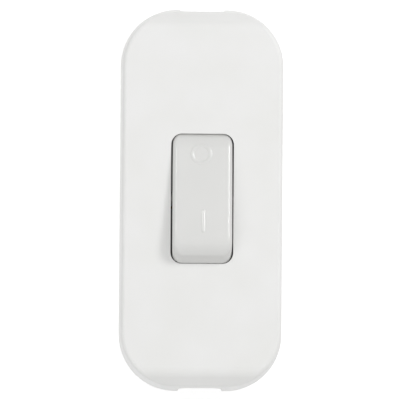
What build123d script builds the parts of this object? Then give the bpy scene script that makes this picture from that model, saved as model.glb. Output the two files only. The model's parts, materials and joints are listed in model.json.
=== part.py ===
from build123d import *
import os
from math import asin, cos, degrees, hypot, radians, sin, tan

# In-line cord rocker switch: two moulded half shells, a rocker and a double-pole contact set.
# Millimetres. The back lies on Z = 0, the cord runs along Y and the end marked O is at +Y.
# The switch is modelled in its OFF position, with the O end of the rocker pressed.

# Housing
body_length = 75.0
body_width = 32.0
corner_radius = 11.0
base_height = 10.0
cover_height = 9.5
wall = 2.0
floor_thickness = 2.0
side_draft = 2.4
end_draft = 8.0
end_slope = 42.0
end_slope_setback = 3.6
end_bend_radius = 3.0
least_bend_radius = 0.5
cover_edge_round = 0.8
base_edge_round = 1.0

# Joint between the half shells
lip_inset = 1.1
lip_height = 1.0
lip_clearance = 0.1
seam_chamfer = 0.3

# Cord entries and cord clamps
entry_width = 8.4
entry_height = 8.4
entry_corner_radius = 2.0
entry_bevel = 0.2
cord_diameter = 6.8
clamp_setback = 10.0
clamp_post_spacing = 14.4
clamp_post_diameter = 5.0
clamp_width = 6.0
clamp_thickness = 4.4
clamp_post_rise = 0.8
saddle_drop = 1.6

# Rocker
rocker_width = 11.6
rocker_end_radius = 13.3
rocker_axis_depth = 4.4
rocker_swing = 9.5
rocker_flush_rise = 0.6
rocker_skirt_drop = 1.0
rocker_roll_radius = 4.6
rocker_roll_turn = 60.0
rocker_corner_radius = 2.0
rocker_edge_round = 0.9
rocker_wall = 1.4
rocker_gap = 0.3
rocker_end_gap = 0.1
trunnion_diameter = 2.8
trunnion_length = 1.9
bearing_clearance = 0.05
bearing_width = 5.4
bearing_thickness = 1.9
stop_clearance = 0.1

# Plungers and their springs
pole_offset = 3.4
plunger_diameter = 2.6
plunger_clearance = 0.05
plunger_reach = 7.4
plunger_nose_radius = 0.8
plunger_neck = 1.6
plunger_seat = 0.4
spigot_diameter = 1.3
spigot_length = 1.5
sleeve_wall = 0.8
sleeve_drop = 3.6
spring_wire = 0.35
spring_diameter = 1.85
spring_turns = 6
nose_clearance = 0.08
spring_clearance = 0.02

# Contact bridges
bridge_length = 17.6
bridge_width = 3.2
bridge_thickness = 0.8
bridge_arm_rise = 6.0
bridge_swing = 12.0
ear_length = 0.8
ear_depth = 1.0
ear_clearance = 0.06
contact_position = 7.3
contact_diameter = 2.8
contact_thickness = 0.6
contact_dome_radius = 4.0
rivet_diameter = 1.4
clench_diameter = 2.0
clench_thickness = 0.25
contact_clearance = 0.05

# Brass strips
strip_thickness = 0.8
strip_width = 3.2
lug_thickness = 0.7
lug_clearance = 0.15
lug_wall_clearance = 0.25
lug_depth = 3.2
lug_rise = 1.0
stop_bead_radius = 1.0

# Terminals
cage_width = 5.2
cage_length = 5.4
cage_roof = 2.2
cage_side = 0.9
cage_window_height = 3.4
cage_gap = 0.7
terminal_screw_diameter = 3.0
terminal_head_diameter = 4.6
terminal_head_height = 1.8
slot_width = 0.8
slot_depth = 0.9

# Contact chamber in the base
chamber_wall = 1.4
chamber_side_height = 9.0
chamber_end_thickness = 1.2
rocker_side_clearance = 0.3
barrier_thickness = 1.0
barrier_height = 8.0
strip_slot_clearance = 0.2

# Screws that hold the halves together and the clamps down
housing_screw_diameter = 2.9
housing_head_diameter = 5.4
housing_head_height = 1.9
housing_screw_station = 10.5
housing_screw_length = 14.0
screw_hole_clearance = 0.2
head_recess_clearance = 0.3
head_recess_depth = 3.0
base_boss_diameter = 7.4
cover_boss_diameter = 5.8
boss_clearance = 0.3
boss_inset = 0.3
screw_tip_clearance = 0.3
clamp_screw_diameter = 2.6
clamp_head_diameter = 4.6
clamp_head_height = 1.7
clamp_screw_length = 11.0

# Places that follow from the sizes above
top_z = base_height + cover_height
ceiling_z = top_z - wall
axis_z = top_z - rocker_axis_depth
rest_reach = rocker_axis_depth + rocker_flush_rise
corner_angle = degrees(asin(rest_reach / rocker_end_radius)) + rocker_swing
face_height = rocker_end_radius * sin(radians(corner_angle))
half_rocker = rocker_width / 2
sleeve_roof = face_height - rocker_wall
bridge_apex = bridge_thickness / 2 / cos(radians(bridge_arm_rise))
hinge_z = axis_z - plunger_reach - nose_clearance - bridge_apex
arm_length = bridge_length / 2
closed_angle = radians(bridge_swing - bridge_arm_rise)
contact_drop = bridge_thickness / 2 + contact_thickness
dome_height = contact_dome_radius - contact_drop
touch_y = contact_position * cos(closed_angle) + dome_height * sin(closed_angle)
dome_low = dome_height * cos(closed_angle) - contact_position * sin(closed_angle) - contact_dome_radius
fixed_contact_z = hinge_z + dome_low - contact_clearance
strip_top = fixed_contact_z - contact_thickness
strip_low = strip_top - strip_thickness
lug_in = bridge_width / 2 + lug_clearance
lug_out = lug_in + lug_thickness
chamber_inner = max(half_rocker + rocker_side_clearance, pole_offset + lug_out + lug_wall_clearance)
chamber_outer = chamber_inner + chamber_wall
skirt_angle = degrees(asin(rocker_skirt_drop / rocker_end_radius)) + rocker_swing
stop_z = axis_z - rocker_end_radius * sin(radians(skirt_angle)) - stop_clearance
chamber_end_out = rocker_end_radius + rocker_gap
chamber_end_in = chamber_end_out - chamber_end_thickness
cage_y = chamber_end_out + cage_gap + cage_length / 2
cage_window_low = strip_low
cage_window_top = cage_window_low + cage_window_height
cage_top = cage_window_top + cage_roof
clamp_y = body_length / 2 - clamp_setback
clamp_post_x = clamp_post_spacing / 2
clamp_seat = base_height + clamp_post_rise
clamp_top = clamp_seat + clamp_thickness
clamp_half = clamp_post_x + clamp_post_diameter / 2
housing_screw_x = body_width / 2 - wall - cover_boss_diameter / 2 - boss_inset
rocker_pose = Pos(0, 0, axis_z) * Rot(-rocker_swing, 0, 0)
wall_rise = 0.3
skin_rise = 0.5
same_place = 0.01
sides = {"left": -1, "right": 1}
ends = {"in": 1, "out": -1}


def block(x0, x1, y0, y1, z0, z1):
    """A plain block between two corners."""
    centre = Pos((x0 + x1) / 2, (y0 + y1) / 2, (z0 + z1) / 2)
    return centre * Box(abs(x1 - x0), abs(y1 - y0), abs(z1 - z0))


def post(diameter, x, y, low, high):
    """An upright round post, or the tool for an upright round hole."""
    return Pos(x, y, (low + high) / 2) * Cylinder(diameter / 2, high - low)


def axle(diameter, x0, x1, y, z):
    """A round bar along X."""
    return Pos((x0 + x1) / 2, y, z) * Rot(0, 90, 0) * Cylinder(diameter / 2, abs(x1 - x0))


def plan(inset, low, high):
    """The plan of the housing, drawn in by an inset, as an upright prism."""
    outline = RectangleRounded(body_width - 2 * inset, body_length - 2 * inset, corner_radius - inset)
    return Pos(0, 0, low) * extrude(outline, high - low)


def half_form(height, inset, skin):
    """One half of the housing, standing on its joint face, drawn in by an inset and a skin on top."""
    length = body_length - 2 * inset
    width = body_width - 2 * inset
    radius = corner_radius - inset
    tall = height - skin
    lean_x = tall * tan(radians(side_draft))
    lean_y = tall * tan(radians(end_draft))
    foot = RectangleRounded(width, length, radius)
    crown = RectangleRounded(width - 2 * lean_x, length - 2 * lean_y, radius - (lean_x + lean_y) / 2)
    tapered = loft([foot, Pos(0, 0, tall) * crown], ruled=True)
    flat = body_length / 2 - end_slope_setback - skin * tan(radians(end_slope / 2))
    spread = flat + (tall + wall) / tan(radians(end_slope))
    profile = Polygon((-flat, tall), (flat, tall), (spread, -wall), (-spread, -wall), align=None)
    bends = profile.vertices().sort_by(Axis.Y)[-2:]
    profile = fillet(bends, max(end_bend_radius - skin, least_bend_radius))
    return tapered & extrude(Plane.YZ * profile, body_width, both=True)


def seam_bevel(height):
    """The housing's plan with its foot bevelled, for a half that stands on its joint face."""
    foot = RectangleRounded(
        body_width - 2 * seam_chamfer, body_length - 2 * seam_chamfer, corner_radius - seam_chamfer)
    wide = RectangleRounded(
        body_width + 2 * seam_chamfer, body_length + 2 * seam_chamfer, corner_radius + seam_chamfer)
    bevel = loft([foot, Pos(0, 0, 2 * seam_chamfer) * wide], ruled=True)
    return bevel + Pos(0, 0, 2 * seam_chamfer) * extrude(wide, height)


def rim_edges(form):
    """Edges where the outer skin of a form turns down into its walls, told by how far the faces look up."""
    found = []
    for edge in form.edges():
        middle = edge.position_at(0.5)
        rises = [f.normal_at(middle).Z for f in form.faces() if any(edge.is_same(e) for e in f.edges())]
        if min(rises) < wall_rise and max(rises) > skin_rise:
            found.append(edge)
    return found


def cord_entry(lean):
    """Tool for the two cord entries of a half whose ends lean: square, with rounded corners, and
    bevelled at the mouth."""
    outline = RectangleRounded(entry_width, entry_height, entry_corner_radius)
    grown = 4 * entry_bevel
    mouth = RectangleRounded(entry_width + grown, entry_height + grown, entry_corner_radius + grown / 2)
    tool = extrude(Plane.XZ * outline, body_length, both=True)
    for end in ends.values():
        out = (0, end * cos(radians(lean)), sin(radians(lean)))
        face = Plane((0, end * body_length / 2, 0), x_dir=(1, 0, 0), z_dir=out)
        tool += loft([face.offset(-entry_bevel) * outline, face.offset(entry_bevel) * mouth], ruled=True)
    return Pos(0, 0, base_height) * tool


def housing_screw_places():
    """The two screws stand on a diagonal, clear of the cord."""
    return [(s * housing_screw_x, s * housing_screw_station) for s in (1, -1)]


def make_cover():
    outer = half_form(cover_height, 0, 0)
    outer = fillet(rim_edges(outer), cover_edge_round)
    cover = Pos(0, 0, base_height) * (outer - half_form(cover_height, wall, wall))
    cover -= plan(lip_inset - lip_clearance, base_height, base_height + lip_height + lip_clearance)

    # Window for the rocker, with ends that follow its swing
    half_window = half_rocker + rocker_gap
    window = axle(2 * (rocker_end_radius + rocker_end_gap), -half_window, half_window, 0, axis_z)
    window = fillet(window.edges().filter_by(GeomType.CIRCLE), rocker_corner_radius + rocker_end_gap)
    cover -= window

    # Upper halves of the two axle bearings
    for s in (1, -1):
        lug = block(s * chamber_inner, s * (chamber_inner + bearing_thickness), -bearing_width / 2,
                    bearing_width / 2, axis_z, ceiling_z + wall / 2)
        cover += lug
    cover -= axle(trunnion_diameter + 2 * bearing_clearance, -body_width / 3, body_width / 3, 0, axis_z)

    # Bosses for the two housing screws
    for x, y in housing_screw_places():
        cover += post(cover_boss_diameter, x, y, base_height, ceiling_z + wall / 2)
        tip = head_recess_depth + housing_screw_length + screw_tip_clearance
        cover -= post(housing_screw_diameter, x, y, base_height, tip)
    return cover - cord_entry(end_draft)


def make_base():
    outer = half_form(base_height, 0, 0)
    outer = fillet(rim_edges(outer), base_edge_round)
    shell = (outer & seam_bevel(base_height)) - half_form(base_height, wall, floor_thickness)
    base = Pos(0, 0, base_height) * mirror(shell, about=Plane.XY)
    lip = plan(lip_inset, base_height - wall, base_height + lip_height)
    base += lip - plan(wall, base_height - 2 * wall, base_height + 2 * lip_height)

    # Chamber round the contacts: side walls, end walls that stop the rocker, and a barrier between poles
    chamber = block(-chamber_outer, chamber_outer, -chamber_end_out, chamber_end_out,
                    floor_thickness, chamber_side_height)
    for s in (1, -1):
        chamber += block(-half_rocker, half_rocker, s * chamber_end_in, s * chamber_end_out,
                         floor_thickness, stop_z)
        chamber += block(s * chamber_inner, s * (chamber_inner + bearing_thickness), -bearing_width / 2,
                         bearing_width / 2, floor_thickness, axis_z)
    chamber -= block(-chamber_inner, chamber_inner, -chamber_end_in, chamber_end_in, floor_thickness, top_z)
    chamber -= axle(trunnion_diameter + 2 * bearing_clearance, -body_width / 3, body_width / 3, 0, axis_z)
    barrier_end = cage_y + cage_length / 2
    chamber += block(-barrier_thickness / 2, barrier_thickness / 2, -barrier_end, barrier_end,
                     floor_thickness, barrier_height)

    # Pads that carry the strips, and slots that let them through the end walls
    for side in sides.values():
        x = side * pole_offset
        half = strip_width / 2
        chamber += block(x - half, x + half, -chamber_end_out, lug_depth / 2, floor_thickness, strip_low)
        chamber += block(x - half, x + half, touch_y - contact_diameter / 2, chamber_end_out,
                         floor_thickness, strip_low)
        slot = half + strip_slot_clearance
        chamber -= block(x - slot, x + slot, -chamber_end_out, -chamber_end_in, strip_low,
                         strip_top + strip_slot_clearance)
        chamber -= block(x - slot, x + slot, chamber_end_in, chamber_end_out, strip_low,
                         strip_top + strip_slot_clearance)
    base += chamber

    # Posts and saddles for the cord clamps
    for end in ends.values():
        y = end * clamp_y
        saddle_top = base_height - saddle_drop
        base += block(-clamp_post_x, clamp_post_x, y - clamp_width / 2, y + clamp_width / 2,
                      floor_thickness / 2, saddle_top)
        for s in (1, -1):
            base += post(clamp_post_diameter, s * clamp_post_x, y, floor_thickness / 2, clamp_seat)
            tip = clamp_top - clamp_screw_length - screw_tip_clearance
            base -= post(clamp_screw_diameter, s * clamp_post_x, y, tip, clamp_seat)
        cord = Pos(0, y, base_height) * Rot(90, 0, 0) * Cylinder(cord_diameter / 2, 2 * clamp_width)
        base -= cord

    # Bosses and recesses for the two housing screws
    for x, y in housing_screw_places():
        base += post(base_boss_diameter, x, y, floor_thickness / 2, base_height)
        base -= post(cover_boss_diameter + 2 * boss_clearance, x, y, base_height, top_z)
        base -= post(housing_screw_diameter + 2 * screw_hole_clearance, x, y, 0, base_height)
        base -= post(housing_head_diameter + 2 * head_recess_clearance, x, y, 0, head_recess_depth)
    return base - cord_entry(-end_draft)


def make_rocker():
    # Side view: a slice of a disc under a flat face that rolls over at both ends
    disc = axle(2 * rocker_end_radius, -half_rocker, half_rocker, 0, 0)
    disc = fillet(disc.edges().filter_by(GeomType.CIRCLE), rocker_corner_radius)
    turn = radians(rocker_roll_turn)
    knee = rocker_end_radius * cos(radians(corner_angle))
    far = 2 * rocker_end_radius
    profile = Polygon(
        (-knee, face_height),
        (knee, face_height),
        (far, face_height - (far - knee) * tan(turn)),
        (far, -2 * far),
        (-far, -2 * far),
        (-far, face_height - (far - knee) * tan(turn)),
        align=None,
    )
    profile = fillet(profile.vertices().sort_by(Axis.Y)[-2:], rocker_roll_radius)
    profile = profile & (Pos(0, far - rocker_skirt_drop) * Rectangle(4 * far, 2 * far))
    key = disc & extrude(Plane.YZ * profile, rocker_width, both=True)
    key = fillet(rim_edges(key), rocker_edge_round)

    # Hollow underside
    hollow = Circle(rocker_end_radius - rocker_wall) & (
        Pos(0, sleeve_roof - far) * Rectangle(2 * far, 2 * far))
    key -= extrude(Plane.YZ * hollow, half_rocker - rocker_wall, both=True)

    # Sleeves for the plungers, joined by a web, and the stub axles
    sleeve = plunger_diameter + 2 * plunger_clearance + 2 * sleeve_wall
    for side in sides.values():
        tube = post(sleeve, side * pole_offset, 0, -sleeve_drop, sleeve_roof + rocker_wall / 2)
        key += tube & block(-half_rocker, half_rocker, -sleeve, sleeve, -2 * sleeve_drop, face_height)
        stub = half_rocker + trunnion_length
        key += axle(trunnion_diameter, side * (half_rocker - rocker_wall), side * stub, 0, 0)
    web = rocker_wall / 2
    key += block(-pole_offset, pole_offset, -web, web, 0, sleeve_roof + web)
    for side in sides.values():
        bore = plunger_diameter + 2 * plunger_clearance
        key -= post(bore, side * pole_offset, 0, -2 * sleeve_drop, sleeve_roof)
    return rocker_pose * key


def make_plunger(side):
    """A turned pin with a round nose below and a spigot for its spring above."""
    radius = plunger_diameter / 2
    nose = plunger_nose_radius
    shoulder = -sleeve_drop - plunger_neck
    tip = -plunger_reach
    with BuildPart() as pin:
        with BuildSketch(Plane.XZ):
            with BuildLine():
                Polyline(
                    (0, tip + nose),
                    (0, spigot_length - plunger_seat),
                    (spigot_diameter / 2, spigot_length - plunger_seat),
                    (spigot_diameter / 2, -plunger_seat),
                    (radius, -plunger_seat),
                    (radius, shoulder),
                    (nose, tip + nose),
                    (0, tip + nose),
                )
            make_face()
        revolve(axis=Axis.Z)
    nosed = pin.part + Pos(0, 0, tip + nose) * Sphere(nose)
    return rocker_pose * Pos(side * pole_offset, 0, 0) * nosed


def make_spring(side):
    low = -plunger_seat + spring_wire / 2 + spring_clearance
    high = sleeve_roof - spring_wire / 2 - spring_clearance
    path = Helix((high - low) / spring_turns, high - low, (spring_diameter - spring_wire) / 2)
    coil = sweep((path ^ 0) * Circle(spring_wire / 2), path=path, is_frenet=True)
    return rocker_pose * Pos(side * pole_offset, 0, low) * coil


def bridge_pose(side):
    return Pos(side * pole_offset, 0, hinge_z) * Rot(bridge_swing, 0, 0)


def arm_frame():
    """Frame on the contact arm of a bridge, at the contact, in the bridge's own frame."""
    return Rot(bridge_arm_rise, 0, 0) * Pos(0, contact_position, 0)


def make_bridge(side):
    """A plate bent to a shallow V, with an ear on each side that rocks in the pivot strip's lugs."""
    rise = radians(bridge_arm_rise)
    half = bridge_thickness / 2
    reach = arm_length * cos(rise)
    lift = arm_length * sin(rise)
    nx = half * sin(rise)
    nz = half * cos(rise)
    outline = Polygon(
        (0, bridge_apex),
        (reach - nx, lift + nz),
        (reach + nx, lift - nz),
        (0, -bridge_apex),
        (-reach - nx, lift - nz),
        (-reach + nx, lift + nz),
        align=None,
    )
    plate = extrude(Plane.YZ * outline, bridge_width / 2, both=True)
    tips = [e for e in plate.edges().filter_by(Axis.X, reverse=True) if abs(e.center().Y) > reach - half
            and abs(abs(e.center().X) - bridge_width / 2) < same_place and e.length < 2 * bridge_thickness]
    plate = fillet(tips, bridge_width / 4)
    ear_half = bridge_width / 2 + ear_length
    plate += block(-ear_half, ear_half, -ear_depth / 2, ear_depth / 2, -half, half)
    plate -= arm_frame() * Cylinder(rivet_diameter / 2, 3 * bridge_thickness)
    return bridge_pose(side) * plate


def contact_rivet():
    """A rivet with a domed head below and a clenched head above, for a plate centred on Z = 0."""
    half = bridge_thickness / 2
    head = Pos(0, 0, -half - contact_thickness / 2) * Cylinder(contact_diameter / 2, contact_thickness)
    head &= Pos(0, 0, dome_height) * Sphere(contact_dome_radius)
    shank = Cylinder(rivet_diameter / 2, bridge_thickness)
    clench = Pos(0, 0, half + clench_thickness / 2) * Cylinder(clench_diameter / 2, clench_thickness)
    return head + shank + clench


def make_moving_contact(side):
    return bridge_pose(side) * arm_frame() * contact_rivet()


def make_pivot_strip(side):
    """Strip from a terminal to the middle, with two notched lugs for the bridge's ears and a stop bead."""
    half = strip_width / 2
    end = -(cage_y + cage_length / 2)
    strip = block(-half, half, end, lug_depth / 2, strip_low, strip_top)
    notch = hypot(ear_depth, bridge_thickness) / 2 + ear_clearance
    strip += block(-lug_out, lug_out, -lug_depth / 2, lug_depth / 2, strip_low, strip_top)
    for s in (1, -1):
        strip += block(s * lug_in, s * lug_out, -lug_depth / 2, lug_depth / 2, strip_low,
                       hinge_z + lug_rise)
    strip -= axle(2 * notch, -lug_out, lug_out, 0, hinge_z)
    strip -= block(-lug_out, lug_out, -notch, notch, hinge_z, hinge_z + 2 * lug_rise)
    rest = arm_length - stop_bead_radius
    bead_y = rest * cos(closed_angle)
    under = bridge_thickness / 2 / cos(closed_angle) + stop_clearance
    bead_top = hinge_z - rest * sin(closed_angle) - under
    bead = axle(2 * stop_bead_radius, -half, half, -bead_y, bead_top - stop_bead_radius)
    strip += bead & block(-half, half, -2 * arm_length, 0, strip_low, top_z)
    return Pos(side * pole_offset, 0, 0) * strip


def make_fixed_strip(side):
    """Strip from a terminal to the fixed contact, with a rounded free end."""
    half = strip_width / 2
    end = cage_y + cage_length / 2
    strip = block(-half, half, touch_y, end, strip_low, strip_top)
    strip += post(strip_width, 0, touch_y, strip_low, strip_top)
    strip -= post(rivet_diameter, 0, touch_y, strip_low, strip_top)
    return Pos(side * pole_offset, 0, 0) * strip


def make_fixed_contact(side):
    head = post(contact_diameter, 0, touch_y, strip_top, fixed_contact_z)
    head = fillet(head.edges().group_by(Axis.Z)[-1], contact_thickness / 3)
    rivet = head + post(rivet_diameter, 0, touch_y, strip_low, strip_top)
    return Pos(side * pole_offset, 0, 0) * rivet


def make_cage(end, side):
    """A box clamp: the strip lies on the floor of its window and the screw closes it from above."""
    x = side * pole_offset
    y = end * cage_y
    cage = block(x - cage_width / 2, x + cage_width / 2, y - cage_length / 2, y + cage_length / 2,
                 floor_thickness, cage_top)
    cage = fillet(cage.edges().filter_by(Axis.Z), cage_side / 2)
    gap = cage_width / 2 - cage_side
    cage -= block(x - gap, x + gap, y - cage_length, y + cage_length, cage_window_low, cage_window_top)
    return cage - post(terminal_screw_diameter, x, y, cage_window_low, 2 * cage_top)


def slotted_screw(diameter, head_diameter, head_height, length, seat):
    """A cheese-head screw with its seat at a given height, pointing down."""
    head = post(head_diameter, 0, 0, seat, seat + head_height)
    head = fillet(head.edges().group_by(Axis.Z)[-1], head_height / 5)
    head -= block(-head_diameter, head_diameter, -slot_width / 2, slot_width / 2,
                  seat + head_height - slot_depth, seat + 2 * head_height)
    shank = post(diameter, 0, 0, seat - length, seat)
    shank = chamfer(shank.edges().group_by(Axis.Z)[0], diameter / 6)
    return head + shank


def make_terminal_screws():
    seat = cage_top + terminal_head_height / 4
    length = seat - cage_window_top + cage_window_height / 4
    screw = slotted_screw(terminal_screw_diameter, terminal_head_diameter, terminal_head_height,
                          length, seat)
    return Compound([Pos(side * pole_offset, end * cage_y, 0) * screw
                     for end in ends.values() for side in sides.values()])


def make_cord_clamp(end):
    """A moulded bridge across two posts, hollowed underneath for the cord."""
    y = end * clamp_y
    outline = Pos(0, (clamp_seat + clamp_top) / 2) * Rectangle(2 * clamp_half, clamp_thickness)
    outline = fillet(outline.vertices().sort_by(Axis.Y)[-2:], clamp_thickness / 4)
    outline -= Pos(0, base_height) * Circle(cord_diameter / 2)
    bridge = Pos(0, y, 0) * extrude(Plane.XZ * outline, clamp_width / 2, both=True)
    for s in (1, -1):
        bridge -= post(clamp_screw_diameter, s * clamp_post_x, y, clamp_seat, clamp_top)
    return bridge


def make_cord_clamp_screws():
    screw = slotted_screw(clamp_screw_diameter, clamp_head_diameter, clamp_head_height,
                          clamp_screw_length, clamp_top)
    return Compound([Pos(s * clamp_post_x, end * clamp_y, 0) * screw
                     for end in ends.values() for s in (1, -1)])


def make_housing_screws():
    """Pan-head screws that come up from recesses in the back."""
    screw = slotted_screw(housing_screw_diameter, housing_head_diameter, housing_head_height,
                          housing_screw_length, 0)
    up = Pos(0, 0, head_recess_depth) * Rot(180, 0, 0)
    return Compound([Pos(x, y, 0) * up * screw for x, y in housing_screw_places()])


def make_parts():
    parts = {
        "base_shell": make_base(),
        "cover_shell": make_cover(),
        "rocker": make_rocker(),
        "terminal_screws": make_terminal_screws(),
        "cord_clamp_screws": make_cord_clamp_screws(),
        "housing_screws": make_housing_screws(),
    }
    for end_name, end in ends.items():
        parts[f"cord_clamp_{end_name}"] = make_cord_clamp(end)
        for side_name, side in sides.items():
            parts[f"terminal_cage_{end_name}_{side_name}"] = make_cage(end, side)
    for side_name, side in sides.items():
        parts[f"plunger_{side_name}"] = make_plunger(side)
        parts[f"plunger_spring_{side_name}"] = make_spring(side)
        parts[f"contact_bridge_{side_name}"] = make_bridge(side)
        parts[f"moving_contact_{side_name}"] = make_moving_contact(side)
        parts[f"pivot_strip_{side_name}"] = make_pivot_strip(side)
        parts[f"fixed_strip_{side_name}"] = make_fixed_strip(side)
        parts[f"fixed_contact_{side_name}"] = make_fixed_contact(side)
    return parts


os.makedirs("parts", exist_ok=True)
for name, solid in make_parts().items():
    export_step(solid, f"parts/{name}.step")
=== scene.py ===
import json
from math import asin, cos, pi, radians, sin, tan

import bmesh
import bpy
from mathutils import Matrix, Vector
from mathutils.bvhtree import BVHTree


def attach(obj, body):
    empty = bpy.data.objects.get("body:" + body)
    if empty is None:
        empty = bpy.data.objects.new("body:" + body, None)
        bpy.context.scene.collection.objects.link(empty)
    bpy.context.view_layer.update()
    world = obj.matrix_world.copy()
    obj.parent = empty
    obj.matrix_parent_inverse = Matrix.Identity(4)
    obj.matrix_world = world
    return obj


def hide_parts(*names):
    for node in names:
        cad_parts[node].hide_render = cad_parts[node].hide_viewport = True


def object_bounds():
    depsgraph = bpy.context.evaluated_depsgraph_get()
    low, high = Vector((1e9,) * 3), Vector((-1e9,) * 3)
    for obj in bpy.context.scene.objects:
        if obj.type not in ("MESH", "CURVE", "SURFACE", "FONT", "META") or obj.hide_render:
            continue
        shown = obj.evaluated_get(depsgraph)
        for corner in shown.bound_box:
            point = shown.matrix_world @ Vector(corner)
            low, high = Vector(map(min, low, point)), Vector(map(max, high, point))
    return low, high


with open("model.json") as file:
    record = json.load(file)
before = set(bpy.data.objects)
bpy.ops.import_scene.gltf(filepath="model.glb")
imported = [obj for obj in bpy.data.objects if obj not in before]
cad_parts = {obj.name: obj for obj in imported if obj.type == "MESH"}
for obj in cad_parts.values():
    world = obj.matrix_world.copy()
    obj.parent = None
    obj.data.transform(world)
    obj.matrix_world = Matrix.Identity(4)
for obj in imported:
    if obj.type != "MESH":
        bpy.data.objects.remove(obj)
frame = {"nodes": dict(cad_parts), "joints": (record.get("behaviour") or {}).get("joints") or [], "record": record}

# White in-line cord rocker switch, lying on its back with the end marked O pressed.
# Metres, in the frame of the solids: +Y towards the end marked O and +Z up out of the cover.
# The values of marks, screws and grain are in millimetres, and angles are in degrees.

cad_low, cad_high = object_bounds()
nodes = frame["nodes"]
joints = {joint["name"]: joint for joint in frame["joints"]}
MM = 0.001

# Points nearer than this are one point: in metres for finished pieces and solids,
# in millimetres for heads
PIECE_MERGE = 1e-7
SOLID_MERGE = 1e-6
HEAD_MERGE = 1e-4

# Marks moulded on the rocker as low domes, placed from the middle of its face
OFF_RING_PLACE = (-0.25, 7.55)
OFF_RING_RADIUS = 1.75
OFF_RING_SIDES = 96
ON_BAR_PLACE = (0.19, -5.65)
ON_BAR_LENGTH = 4.7
ON_BAR_END_SIDES = 12
ON_BAR_CREST = 0.008
MARK_LINE = 0.8
MARK_HEIGHT = 0.1
MARK_SINK = 0.05
MARK_STEPS = 8
MARK_CREASE = 40
ABOVE_FACE = 10.0

# Screws: height of the head, crest radius, depth and pitch of the thread, and how they are driven
SCREWS = {
    "terminal_screws": {
        "head": 1.8, "radius": 1.5, "depth": 0.27, "pitch": 0.5,
        "cross": False, "from_back": False},
    "cord_clamp_screws": {
        "head": 1.7, "radius": 1.3, "depth": 0.34, "pitch": 0.95,
        "cross": False, "from_back": False},
    "housing_screws": {
        "head": 1.9, "radius": 1.45, "depth": 0.4, "pitch": 1.1,
        "cross": True, "from_back": True},
}
THREAD_SIDES = 28
THREAD_SECTION_SIDES = 4
SCREW_TURN_SEED = 4

# Screw heads: the rim's round and the crown as shares of the height,
# the edge at the seat as a share of the radius
HEAD_SIDES = 48
HEAD_CREASE = 35
PAN_HEAD_RIM = 0.55
CHEESE_HEAD_RIM = 0.2
RIM_STEPS = 6
CROWN = 0.06
CROWN_FLAT = 0.3
SEAT_EDGE = 0.04

# Driver recesses: a slot right across the head, or a cross that narrows towards its bottom
SLOT_WIDTH = 0.8
SLOT_DEPTH = 0.9
SLOT_REACH = 10
SLOT_OVERLAP = 1
CROSS_WIDTH = 0.8
CROSS_SPAN = 3.0
CROSS_DEPTH = 1.2
CROSS_MOUTH = 1.06
CROSS_BOTTOM = 0.42
CROSS_OVERLAP = 0.2

# Plastics. The grain is drawn wider than an eroded or polished tool leaves it,
# so that it shows up close.
PLASTICS = {
    # Satin white: an even tone with a broad, soft sheen and no clear reflection
    "housing_plastic": dict(
        name="abs_eroded_white", light="#ebebea", dark="#e8e8e6", roughness=0.46,
        grain=0.22, grain_height=0.012, ior=1.52),
    # Smooth and a shade greyer than the housing: soft-edged reflections that slide
    # over the rolled ends
    "rocker_plastic": dict(
        name="polycarbonate_smooth_white", light="#dcdcda", dark="#d9d9d7", roughness=0.17,
        grain=0.6, grain_height=0.0015, ior=1.58),
    # The rocker's white again, polished in the tool: the marks show by their glints alone
    "mark_plastic": dict(
        name="polycarbonate_polished_white", light="#dcdcda", dark="#d9d9d7", roughness=0.13,
        grain=0.6, grain_height=0.0005, ior=1.58),
    # Tougher, slightly warm white with a dull sheen
    "clamp_plastic": dict(
        name="polyamide_moulded_white", light="#e4e3de", dark="#dfded8", roughness=0.42,
        grain=0.3, grain_height=0.012, ior=1.52),
    # Waxy cream with a close, silky highlight
    "plunger_plastic": dict(
        name="acetal_moulded_cream", light="#eee9dc", dark="#e9e3d4", roughness=0.3,
        grain=0.5, grain_height=0.008, ior=1.48),
}
FLOW_CLOUD = 9
CLOUD_DETAIL = 2.0
GRAIN_DETAIL = 3.0
PLASTIC_TONES = (0.3, 0.7)
PLASTIC_GLOSS_SPREAD = 0.04
PLASTIC_RELIEF = 0.35

# Metals. The lines are drawn further apart than rolls, dies and plating leave them,
# so that they show.
METALS = {
    # Warm yellow with rolling lines along the strip, which draw its highlights out across them
    "brass": dict(
        name="brass_rolled_strip", light="#d9b76a", dark="#c39c4c", roughness=0.27,
        along=1, line=0.12),
    # Pale and almost neutral, with a faint cloudy shine
    "silver": dict(
        name="silver_contact_alloy", light="#e9e6df", dark="#d6d2c8", roughness=0.25,
        along=None, line=0.25),
    # Cool bluish grey, softly mottled by the plating
    "screw_steel": dict(
        name="steel_zinc_plated", light="#c9cdd0", dark="#aeb3b8", roughness=0.3,
        along=None, line=0.3),
    # Darker grey with fine streaks from the die
    "spring_steel": dict(
        name="steel_drawn_wire", light="#a9abae", dark="#8d9094", roughness=0.33,
        along=2, line=0.1),
}
LINE_STRETCH = 25
LINE_DETAIL = 3.0
LINE_DEPTH = 0.01
METAL_TONES = (0.32, 0.68)
METAL_GLOSS_SPREAD = 0.06
METAL_RELIEF = 0.3

# The part of a noise texture's range that drives the roughness
NOISE_RANGE = (0.3, 0.7)

# Floor: in metres, with a little room under the base, so that their faces don't coincide
FLOOR_SIZE = 1.5
FLOOR_ROOM = 0.05 * MM
FLOOR_COLOUR = "#f4f4f4"
FLOOR_ROUGHNESS = 0.9
FLOOR_LIFT = 0.4
WHITE = "#ffffff"

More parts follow.
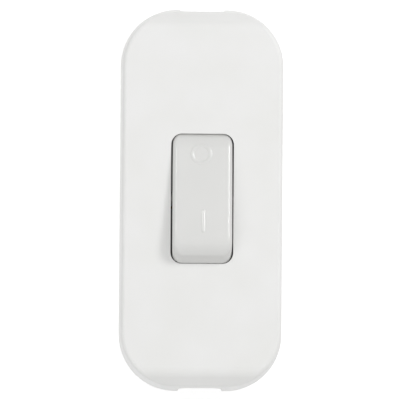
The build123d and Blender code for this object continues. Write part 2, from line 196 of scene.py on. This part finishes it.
# Light: even light from all round and four soft lamps, in metres,
# with how bright each lamp's face is
WORLD_STRENGTH = 0.55
LAMP_TARGET = (0, 0, 0.015)
LAMPS = {
    "top_lamp": {"place": (0.02, 0.03, 0.6), "size": (0.5, 0.5), "radiance": 0.39},
    "key_lamp": {"place": (0.315, 0.25, 0.463), "size": (0.17, 0.17), "radiance": 12.5},
    "left_lamp": {"place": (-0.24, 0.218, 0.56), "size": (0.07, 0.07), "radiance": 11.0},
    "front_fill": {"place": (-0.3, -0.3, 0.44), "size": (0.36, 0.36), "radiance": 1.3},
}

# Camera: a long lens over the switch, a little towards its left side and its I end
CAMERA_DISTANCE = 0.8
CAMERA_TILT_X = -1.26
CAMERA_TILT_Y = -1.91
CAMERA_ROLL = 0.45
CAMERA_TARGET = (-0.22, 0.05, 10.0)
CAMERA_CLIP = 0.01
PIXELS_PER_MM = 5.0824
IMAGE_WIDTH = 400
SENSOR_WIDTH = 36.0


# Helpers for meshes

def loose_object(name, mesh):
    """A new object in the scene."""
    piece = bpy.data.objects.new(name, mesh)
    bpy.context.scene.collection.objects.link(piece)
    return piece


def keep_mesh(name, mesh, material, body):
    """A finished piece at the origin, riding on its body."""
    piece = loose_object(name, mesh)
    piece.data.materials.clear()
    piece.data.materials.append(material)
    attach(piece, body)
    return piece


def mesh_from(bm, name, merge=PIECE_MERGE):
    """The finished mesh of a bmesh, with its doubles merged and its faces pointing out."""
    bmesh.ops.remove_doubles(bm, verts=bm.verts, dist=merge)
    bmesh.ops.recalc_face_normals(bm, faces=bm.faces)
    mesh = bpy.data.meshes.new(name)
    bm.to_mesh(mesh)
    bm.free()
    return mesh


def evaluated_mesh(piece):
    """The plain mesh that a piece's modifiers give."""
    depsgraph = bpy.context.evaluated_depsgraph_get()
    return bpy.data.meshes.new_from_object(piece.evaluated_get(depsgraph))


def smooth(mesh, angle):
    """Smooth shading, with edges sharper than the angle kept crisp."""
    mesh.polygons.foreach_set("use_smooth", [True] * len(mesh.polygons))
    bm = bmesh.new()
    bm.from_mesh(mesh)
    for edge in bm.edges:
        edge.smooth = len(edge.link_faces) == 2 and edge.calc_face_angle(0.0) < radians(angle)
    bm.to_mesh(mesh)
    bm.free()


# Helpers for materials

def linear(colour):
    """A colour written as sRGB hex, as linear values."""
    channels = [int(colour[i:i + 2], 16) / 255 for i in (1, 3, 5)]
    light = [c / 12.92 if c <= 0.04045 else ((c + 0.055) / 1.055) ** 2.4 for c in channels]
    return (*light, 1.0)


def add(tree, kind, feeds=None, **settings):
    """Adds a node. feeds maps an input's name or number to a value, or to an output."""
    node = tree.nodes.new(kind)
    for name, value in settings.items():
        setattr(node, name, value)
    for key, value in (feeds or {}).items():
        if isinstance(value, bpy.types.NodeSocket):
            tree.links.new(value, node.inputs[key])
        else:
            node.inputs[key].default_value = value
    return node


def new_material(name):
    """An empty material, its tree and its Principled shader."""
    material = bpy.data.materials.new(name)
    material.use_nodes = True
    tree = material.node_tree
    tree.nodes.clear()
    shader = add(tree, "ShaderNodeBsdfPrincipled")
    add(tree, "ShaderNodeOutputMaterial", {"Surface": shader.outputs["BSDF"]})
    return material, tree, shader


def tint(tree, shader, pattern, light, dark, tones):
    """Colours a surface from dark to light over the given part of a pattern's range."""
    ramp = add(tree, "ShaderNodeValToRGB", {"Fac": pattern})
    for element, position, colour in zip(ramp.color_ramp.elements, tones, (dark, light)):
        element.position = position
        element.color = linear(colour)
    tree.links.new(ramp.outputs["Color"], shader.inputs["Base Color"])


def work(tree, shader, pattern, roughness, spread, relief, depth):
    """Varies the gloss of a surface with a pattern, and raises it to a depth in millimetres."""
    gloss = add(tree, "ShaderNodeMapRange", {
        "Value": pattern, "From Min": NOISE_RANGE[0], "From Max": NOISE_RANGE[1],
        "To Min": roughness - spread, "To Max": roughness + spread})
    tree.links.new(gloss.outputs["Result"], shader.inputs["Roughness"])
    bump = add(tree, "ShaderNodeBump", {
        "Height": pattern, "Strength": relief, "Distance": depth * MM})
    tree.links.new(bump.outputs["Normal"], shader.inputs["Normal"])


def moulded_plastic(name, light, dark, roughness, grain, grain_height, ior):
    """Opaque moulding: faint flow clouds in the colour, and the fine grain of an eroded tool.

    The eye sees a soft, even sheen with no sparkle. grain is the width of a grain.
    """
    material, tree, shader = new_material(name)
    place = add(tree, "ShaderNodeTexCoord").outputs["Object"]
    cloud = add(tree, "ShaderNodeTexNoise", {
        "Vector": place, "Scale": 1 / (FLOW_CLOUD * MM), "Detail": CLOUD_DETAIL})
    tint(tree, shader, cloud.outputs["Fac"], light, dark, PLASTIC_TONES)
    speck = add(tree, "ShaderNodeTexNoise", {
        "Vector": place, "Scale": 1 / (grain * MM), "Detail": GRAIN_DETAIL})
    work(tree, shader, speck.outputs["Fac"], roughness, PLASTIC_GLOSS_SPREAD,
         PLASTIC_RELIEF, grain_height)
    shader.inputs["IOR"].default_value = ior
    return material


def worked_metal(name, light, dark, roughness, along, line):
    """Metal with the lines of its making: drawn, rolled or turned. line is how far apart they are.

    The lines are stretched along one axis, if any, and break up the reflection across it.
    """
    material, tree, shader = new_material(name)
    place = add(tree, "ShaderNodeTexCoord").outputs["Object"]
    stretch = [1 / (line * MM)] * 3
    if along is not None:
        stretch[along] /= LINE_STRETCH
    lined = add(tree, "ShaderNodeMapping", {"Vector": place, "Scale": stretch})
    lines = add(tree, "ShaderNodeTexNoise", {
        "Vector": lined.outputs["Vector"], "Scale": 1.0, "Detail": LINE_DETAIL})
    tint(tree, shader, lines.outputs["Fac"], light, dark, METAL_TONES)
    work(tree, shader, lines.outputs["Fac"], roughness, METAL_GLOSS_SPREAD,
         METAL_RELIEF, LINE_DEPTH)
    shader.inputs["Metallic"].default_value = 1.0
    return material


def make_materials():
    """One material for each finish in the record, and a polished one for the marks."""
    materials = {slot: moulded_plastic(**values) for slot, values in PLASTICS.items()}
    materials.update({slot: worked_metal(**values) for slot, values in METALS.items()})
    return materials


# Pieces

def rocker_face():
    """Matrix from the rocker's face, in millimetres, to the frame: Z out of it, Y towards O."""
    pivot = Vector(joints["rocker_tilt"]["pos_m"])
    swing = radians(joints["rocker_tilt"]["range_deg"][1] / 2)
    level = Matrix.Rotation(swing, 3, "X")
    height = max((level @ (v.co - pivot)).z for v in nodes["rocker"].data.vertices)
    turned = Matrix.Rotation(-swing, 4, "X") @ Matrix.Translation((0, 0, height))
    return Matrix.Translation(pivot) @ turned @ Matrix.Scale(MM, 4)


def mark_profile():
    """Half of a mark's low dome, from its foot to near its crest.

    Each point is its distance from the middle and its height.
    """
    half = MARK_LINE / 2
    radius = (half ** 2 + MARK_HEIGHT ** 2) / (2 * MARK_HEIGHT)
    spread = asin(half / radius)
    section = [(half, -MARK_SINK)]
    for i in range(MARK_STEPS):
        turn = spread * (1 - i / MARK_STEPS)
        section.append((radius * sin(turn), MARK_HEIGHT - radius * (1 - cos(turn))))
    return section


def keep_mark(bm, name, material):
    """Lays a mark that is drawn flat, in millimetres, on the rocker's face, and keeps it."""
    face = rocker_face()
    flat = face.inverted()
    rocker = nodes["rocker"].data
    skin = BVHTree.FromPolygons(
        [flat @ v.co for v in rocker.vertices], [p.vertices[:] for p in rocker.polygons])
    for vert in bm.verts:
        foot = skin.ray_cast(Vector((vert.co.x, vert.co.y, ABOVE_FACE)), Vector((0, 0, -1)))[0]
        vert.co.z += foot.z
    bm.transform(face)
    mesh = mesh_from(bm, name)
    smooth(mesh, MARK_CREASE)
    keep_mesh(name, mesh, material, "rocker")


def make_off_ring(material):
    """The O: a ring raised on the pressed end of the rocker."""
    half = mark_profile()
    section = half + [(0, MARK_HEIGHT)] + [(-d, z) for d, z in reversed(half)]
    x, y = OFF_RING_PLACE
    bm = bmesh.new()
    rows = []
    for i in range(OFF_RING_SIDES):
        turn = 2 * pi * i / OFF_RING_SIDES
        rows.append([bm.verts.new((
            x + (OFF_RING_RADIUS + d) * cos(turn), y + (OFF_RING_RADIUS + d) * sin(turn), z))
            for d, z in section])
    for i in range(OFF_RING_SIDES):
        near, far = rows[i], rows[(i + 1) % OFF_RING_SIDES]
        for j in range(len(section)):
            k = (j + 1) % len(section)
            bm.faces.new((near[j], far[j], far[k], near[k]))
    keep_mark(bm, "off_mark_ring", material)


def make_on_bar(material):
    """The I: a bar raised on the standing end of the rocker, with rounded ends."""
    section = mark_profile() + [(ON_BAR_CREST, MARK_HEIGHT)]
    straight = ON_BAR_LENGTH / 2 - MARK_LINE / 2
    x, y = ON_BAR_PLACE
    bm = bmesh.new()
    rows = []
    for d, z in section:
        row = []
        for end in (1, -1):
            for i in range(ON_BAR_END_SIDES + 1):
                turn = pi * i / ON_BAR_END_SIDES + (0 if end > 0 else pi)
                row.append(bm.verts.new((
                    x + d * cos(turn), y + end * straight + d * sin(turn), z)))
        rows.append(row)
    for low, high in zip(rows, rows[1:]):
        for i in range(len(low)):
            k = (i + 1) % len(low)
            bm.faces.new((low[i], low[k], high[k], high[i]))
    bm.faces.new(rows[-1])
    bm.faces.new(list(reversed(rows[0])))
    keep_mark(bm, "on_mark_bar", material)


def solid_boxes(node):
    """Lowest and highest corner of each separate solid of a node."""
    bm = bmesh.new()
    bm.from_mesh(nodes[node].data)
    bmesh.ops.remove_doubles(bm, verts=bm.verts, dist=SOLID_MERGE)
    left = set(bm.verts)
    boxes = []
    while left:
        group, edge = set(), [left.pop()]
        while edge:
            vert = edge.pop()
            group.add(vert)
            near = {e.other_vert(vert) for e in vert.link_edges} & left
            left -= near
            edge.extend(near)
        boxes.append([
            Vector([pick(v.co[i] for v in group) for i in range(3)]) for pick in (min, max)])
    bm.free()
    return sorted(boxes, key=lambda box: tuple(round(c, 6) for c in box[0]))


def lathe(section, around):
    """A turned form about Z from pairs of (radius, height), first and last on the axis."""
    bm = bmesh.new()
    rings = [[bm.verts.new((r * cos(2 * pi * i / around), r * sin(2 * pi * i / around), z))
              for i in range(around)] for r, z in section[1:-1]]
    bottom = bm.verts.new((0, 0, section[0][1]))
    top = bm.verts.new((0, 0, section[-1][1]))
    for i in range(around):
        k = (i + 1) % around
        bm.faces.new((bottom, rings[0][k], rings[0][i]))
        bm.faces.new((top, rings[-1][i], rings[-1][k]))
        for low, high in zip(rings, rings[1:]):
            bm.faces.new((low[i], low[k], high[k], high[i]))
    return bm


def driver_cut(height, cross):
    """Tool for the slot or the tapered cross in a head of a given height."""
    bm = bmesh.new()
    if cross:
        arm, half = CROSS_SPAN / 2, CROSS_WIDTH / 2
        outline = [Matrix.Rotation(pi / 2 * i, 2) @ Vector(corner)
                   for i in range(4) for corner in ((arm, -half), (arm, half), (half, half))]
        levels = [(height + CROSS_OVERLAP, CROSS_MOUTH), (height - CROSS_DEPTH, CROSS_BOTTOM)]
    else:
        outline = [Vector((x * SLOT_REACH, y * SLOT_WIDTH / 2))
                   for x, y in ((-1, -1), (1, -1), (1, 1), (-1, 1))]
        levels = [(height + SLOT_OVERLAP, 1.0), (height - SLOT_DEPTH, 1.0)]
    rings = [[bm.verts.new((q.x * size, q.y * size, z)) for q in outline] for z, size in levels]
    for i in range(len(outline)):
        k = (i + 1) % len(outline)
        bm.faces.new((rings[0][i], rings[0][k], rings[1][k], rings[1][i]))
    bm.faces.new(rings[0])
    bm.faces.new(list(reversed(rings[1])))
    return mesh_from(bm, "driver_cut")


def make_head(name, radius, height, cross):
    """A turned head on its seat, in millimetres, with a rounded rim and its slot or cross."""
    rim = height * (PAN_HEAD_RIM if cross else CHEESE_HEAD_RIM)
    crown = height * CROWN
    section = [(0, 0), (radius * (1 - SEAT_EDGE), 0), (radius, radius * SEAT_EDGE)]
    for i in range(RIM_STEPS + 1):
        turn = pi / 2 * i / RIM_STEPS
        section.append((radius - rim * (1 - cos(turn)), height - crown - rim + rim * sin(turn)))
    section += [(radius * CROWN_FLAT, height - crown * CROWN_FLAT), (0, height)]
    blank = loose_object(name, mesh_from(lathe(section, HEAD_SIDES), name))
    tool = loose_object("driver_tool", driver_cut(height, cross))
    cut = blank.modifiers.new("driver", "BOOLEAN")
    cut.operation = "DIFFERENCE"
    cut.solver = "EXACT"
    cut.object = tool
    bm = bmesh.new()
    bm.from_mesh(evaluated_mesh(blank))
    bpy.data.objects.remove(blank)
    bpy.data.objects.remove(tool)
    mesh = mesh_from(bm, name, HEAD_MERGE)
    smooth(mesh, HEAD_CREASE)
    return loose_object(name, mesh)


def screw_tree():
    """Geometry Nodes tree: a head with a threaded shank below it, set on each given point."""
    tree = bpy.data.node_groups.new("screw_set", "GeometryNodeTree")
    tree.interface.new_socket("Seats", in_out="INPUT", socket_type="NodeSocketGeometry")
    tree.interface.new_socket("Head", in_out="INPUT", socket_type="NodeSocketObject")
    for name in ("Thread Radius", "Thread Depth", "Pitch", "Length"):
        tree.interface.new_socket(name, in_out="INPUT", socket_type="NodeSocketFloat")
    tree.interface.new_socket("Finish", in_out="INPUT", socket_type="NodeSocketMaterial")
    tree.interface.new_socket("Screws", in_out="OUTPUT", socket_type="NodeSocketGeometry")
    given = add(tree, "NodeGroupInput").outputs
    path = add(tree, "ShaderNodeMath", {0: given["Thread Radius"], 1: given["Thread Depth"]},
               operation="SUBTRACT").outputs[0]
    turns = add(tree, "ShaderNodeMath", {0: given["Length"], 1: given["Pitch"]},
                operation="DIVIDE").outputs[0]
    drop = add(tree, "ShaderNodeMath", {0: given["Length"], 1: -1.0},
               operation="MULTIPLY").outputs[0]
    half = add(tree, "ShaderNodeMath", {0: drop, 1: 0.5}, operation="MULTIPLY").outputs[0]
    helix = add(tree, "GeometryNodeCurveSpiral", {
        "Resolution": THREAD_SIDES, "Rotations": turns, "Start Radius": path, "End Radius": path,
        "Height": drop})
    upright = add(tree, "GeometryNodeSetCurveNormal", {"Curve": helix.outputs[0]}, mode="Z_UP")
    crest = add(tree, "GeometryNodeCurvePrimitiveCircle", {
        "Resolution": THREAD_SECTION_SIDES, "Radius": given["Thread Depth"]})
    thread = add(tree, "GeometryNodeCurveToMesh", {
        "Curve": upright.outputs[0], "Profile Curve": crest.outputs["Curve"], "Fill Caps": True})
    core = add(tree, "GeometryNodeMeshCylinder", {
        "Vertices": THREAD_SIDES, "Radius": path, "Depth": given["Length"]})
    middle = add(tree, "ShaderNodeCombineXYZ", {"Z": half})
    hung = add(tree, "GeometryNodeTransform", {
        "Geometry": core.outputs["Mesh"], "Translation": middle.outputs[0]})
    head = add(tree, "GeometryNodeObjectInfo", {"Object": given["Head"]})
    join = add(tree, "GeometryNodeJoinGeometry")
    for part in (thread.outputs["Mesh"], hung.outputs["Geometry"], head.outputs["Geometry"]):
        tree.links.new(part, join.inputs[0])
    whole = add(tree, "GeometryNodeGeometryToInstance", {0: join.outputs[0]})
    turn = add(tree, "FunctionNodeRandomValue", {
        "Max": (0.0, 0.0, 2 * pi), "Seed": SCREW_TURN_SEED}, data_type="FLOAT_VECTOR")
    placed = add(tree, "GeometryNodeInstanceOnPoints", {
        "Points": given["Seats"], "Instance": whole.outputs[0], "Rotation": turn.outputs[0]})
    real = add(tree, "GeometryNodeRealizeInstances", {"Geometry": placed.outputs[0]})
    dressed = add(tree, "GeometryNodeSetMaterial", {
        "Geometry": real.outputs[0], "Material": given["Finish"]})
    add(tree, "NodeGroupOutput", {0: dressed.outputs[0]})
    return tree


def make_screws(node, tree, material):
    """The screws of one node, with threads and driver recesses, in the node's place."""
    kind = SCREWS[node]
    boxes = solid_boxes(node)
    turned = Matrix.Rotation(pi, 4, "X") if kind["from_back"] else Matrix.Identity(4)
    seats = []
    for low, high in boxes:
        middle = (low + high) / 2
        seat = low.z + kind["head"] * MM if kind["from_back"] else high.z - kind["head"] * MM
        seats.append(turned @ Vector((middle.x, middle.y, seat)) / MM)
    radius = (boxes[0][1].x - boxes[0][0].x) / 2 / MM
    length = (boxes[0][1].z - boxes[0][0].z) / MM - kind["head"]
    head = make_head(node + "_head", radius, kind["head"], kind["cross"])
    points = bpy.data.meshes.new(node + "_seats")
    points.from_pydata(seats, [], [])
    piece = loose_object(node + "_set", points)
    modifier = piece.modifiers.new("screw_set", "NODES")
    modifier.node_group = tree
    values = {"Head": head, "Thread Radius": kind["radius"], "Thread Depth": kind["depth"],
              "Pitch": kind["pitch"], "Length": length, "Finish": material}
    for item in tree.interface.items_tree:
        if item.in_out == "INPUT" and item.name in values:
            modifier[item.identifier] = values[item.name]
    mesh = evaluated_mesh(piece)
    bpy.data.objects.remove(piece)
    bpy.data.objects.remove(head)
    mesh.transform(turned @ Matrix.Scale(MM, 4))
    screws = keep_mesh(node + "_threaded", mesh, material, "housing")
    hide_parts(node)


def dress_nodes(materials):
    """Gives every solid the material of its slot."""
    for part in frame["record"]["subparts"]:
        mesh = nodes[part["node"]].data
        mesh.materials.clear()
        mesh.materials.append(materials[part["material_slot"]])


# Stage

def seen_factor(tree):
    """1 for rays that show the background: straight to the eye, mirrored or seen through."""
    path = add(tree, "ShaderNodeLightPath").outputs
    first = add(tree, "ShaderNodeMath", {0: path["Is Camera Ray"], 1: path["Is Glossy Ray"]},
                operation="MAXIMUM")
    return add(tree, "ShaderNodeMath", {0: first.outputs[0], 1: path["Is Transmission Ray"]},
               operation="MAXIMUM").outputs[0]


def make_floor():
    """A plain white floor: it takes the shadow, and shows white to the eye where it is lit."""
    bm = bmesh.new()
    bmesh.ops.create_grid(bm, x_segments=1, y_segments=1, size=FLOOR_SIZE)
    bmesh.ops.translate(bm, verts=bm.verts, vec=(0, 0, cad_low[2] - FLOOR_ROOM))
    mesh = bpy.data.meshes.new("floor")
    bm.to_mesh(mesh)
    bm.free()
    material, tree, shader = new_material("floor_white_paper")
    shader.inputs["Base Color"].default_value = linear(FLOOR_COLOUR)
    shader.inputs["Roughness"].default_value = FLOOR_ROUGHNESS
    shader.inputs["Specular IOR Level"].default_value = 0.0
    strength = add(tree, "ShaderNodeMath", {0: seen_factor(tree), 1: FLOOR_LIFT},
                   operation="MULTIPLY")
    lift = add(tree, "ShaderNodeEmission", {
        "Color": linear(WHITE), "Strength": strength.outputs[0]})
    both = add(tree, "ShaderNodeAddShader", {
        0: shader.outputs["BSDF"], 1: lift.outputs["Emission"]})
    tree.links.new(both.outputs[0], tree.nodes["Material Output"].inputs["Surface"])
    mesh.materials.append(material)
    loose_object("floor", mesh)


def make_world():
    """Even white light from all round, which the eye and reflections see as plain white."""
    world = bpy.data.worlds.new("white_tent")
    bpy.context.scene.world = world
    world.use_nodes = True
    tree = world.node_tree
    tree.nodes.clear()
    level = add(tree, "ShaderNodeMapRange", {
        "Value": seen_factor(tree), "To Min": WORLD_STRENGTH, "To Max": 1.0})
    sky = add(tree, "ShaderNodeBackground", {
        "Color": linear(WHITE), "Strength": level.outputs["Result"]})
    add(tree, "ShaderNodeOutputWorld", {"Surface": sky.outputs["Background"]})


def make_lamp(name, place, size, radiance):
    """A soft lamp aimed at the switch: its width and height, and how bright its face is."""
    light = bpy.data.lights.new(name, "AREA")
    light.shape = "RECTANGLE"
    light.size, light.size_y = size
    light.energy = radiance * pi * size[0] * size[1]
    lamp = loose_object(name, light)
    lamp.location = place
    lamp.rotation_euler = (Vector(LAMP_TARGET) - Vector(place)).to_track_quat("-Z", "Y").to_euler()


def make_camera():
    """A long lens at the photograph's angle."""
    target = Vector(CAMERA_TARGET) * MM
    out = Vector((tan(radians(CAMERA_TILT_X)), tan(radians(CAMERA_TILT_Y)), 1.0)).normalized()
    right = Vector((0, 1, 0)).cross(out).normalized()
    up = out.cross(right)
    roll = radians(CAMERA_ROLL)
    turned_right = right * cos(roll) + up * sin(roll)
    turned_up = up * cos(roll) - right * sin(roll)
    lens = bpy.data.cameras.new("camera")
    lens.sensor_width = SENSOR_WIDTH
    lens.lens = SENSOR_WIDTH * PIXELS_PER_MM / MM * CAMERA_DISTANCE / IMAGE_WIDTH
    lens.clip_start = CAMERA_CLIP
    camera = loose_object("camera", lens)
    axes = Matrix((turned_right, turned_up, out)).transposed().to_4x4()
    camera.matrix_world = Matrix.Translation(target + out * CAMERA_DISTANCE) @ axes
    bpy.context.scene.camera = camera


materials = make_materials()
dress_nodes(materials)
make_off_ring(materials["mark_plastic"])
make_on_bar(materials["mark_plastic"])
screws = screw_tree()
for node in SCREWS:
    make_screws(node, screws, materials["screw_steel"])
make_floor()
make_world()
for name, values in LAMPS.items():
    make_lamp(name, **values)
make_camera()
bpy.context.scene.view_settings.view_transform = "Standard"
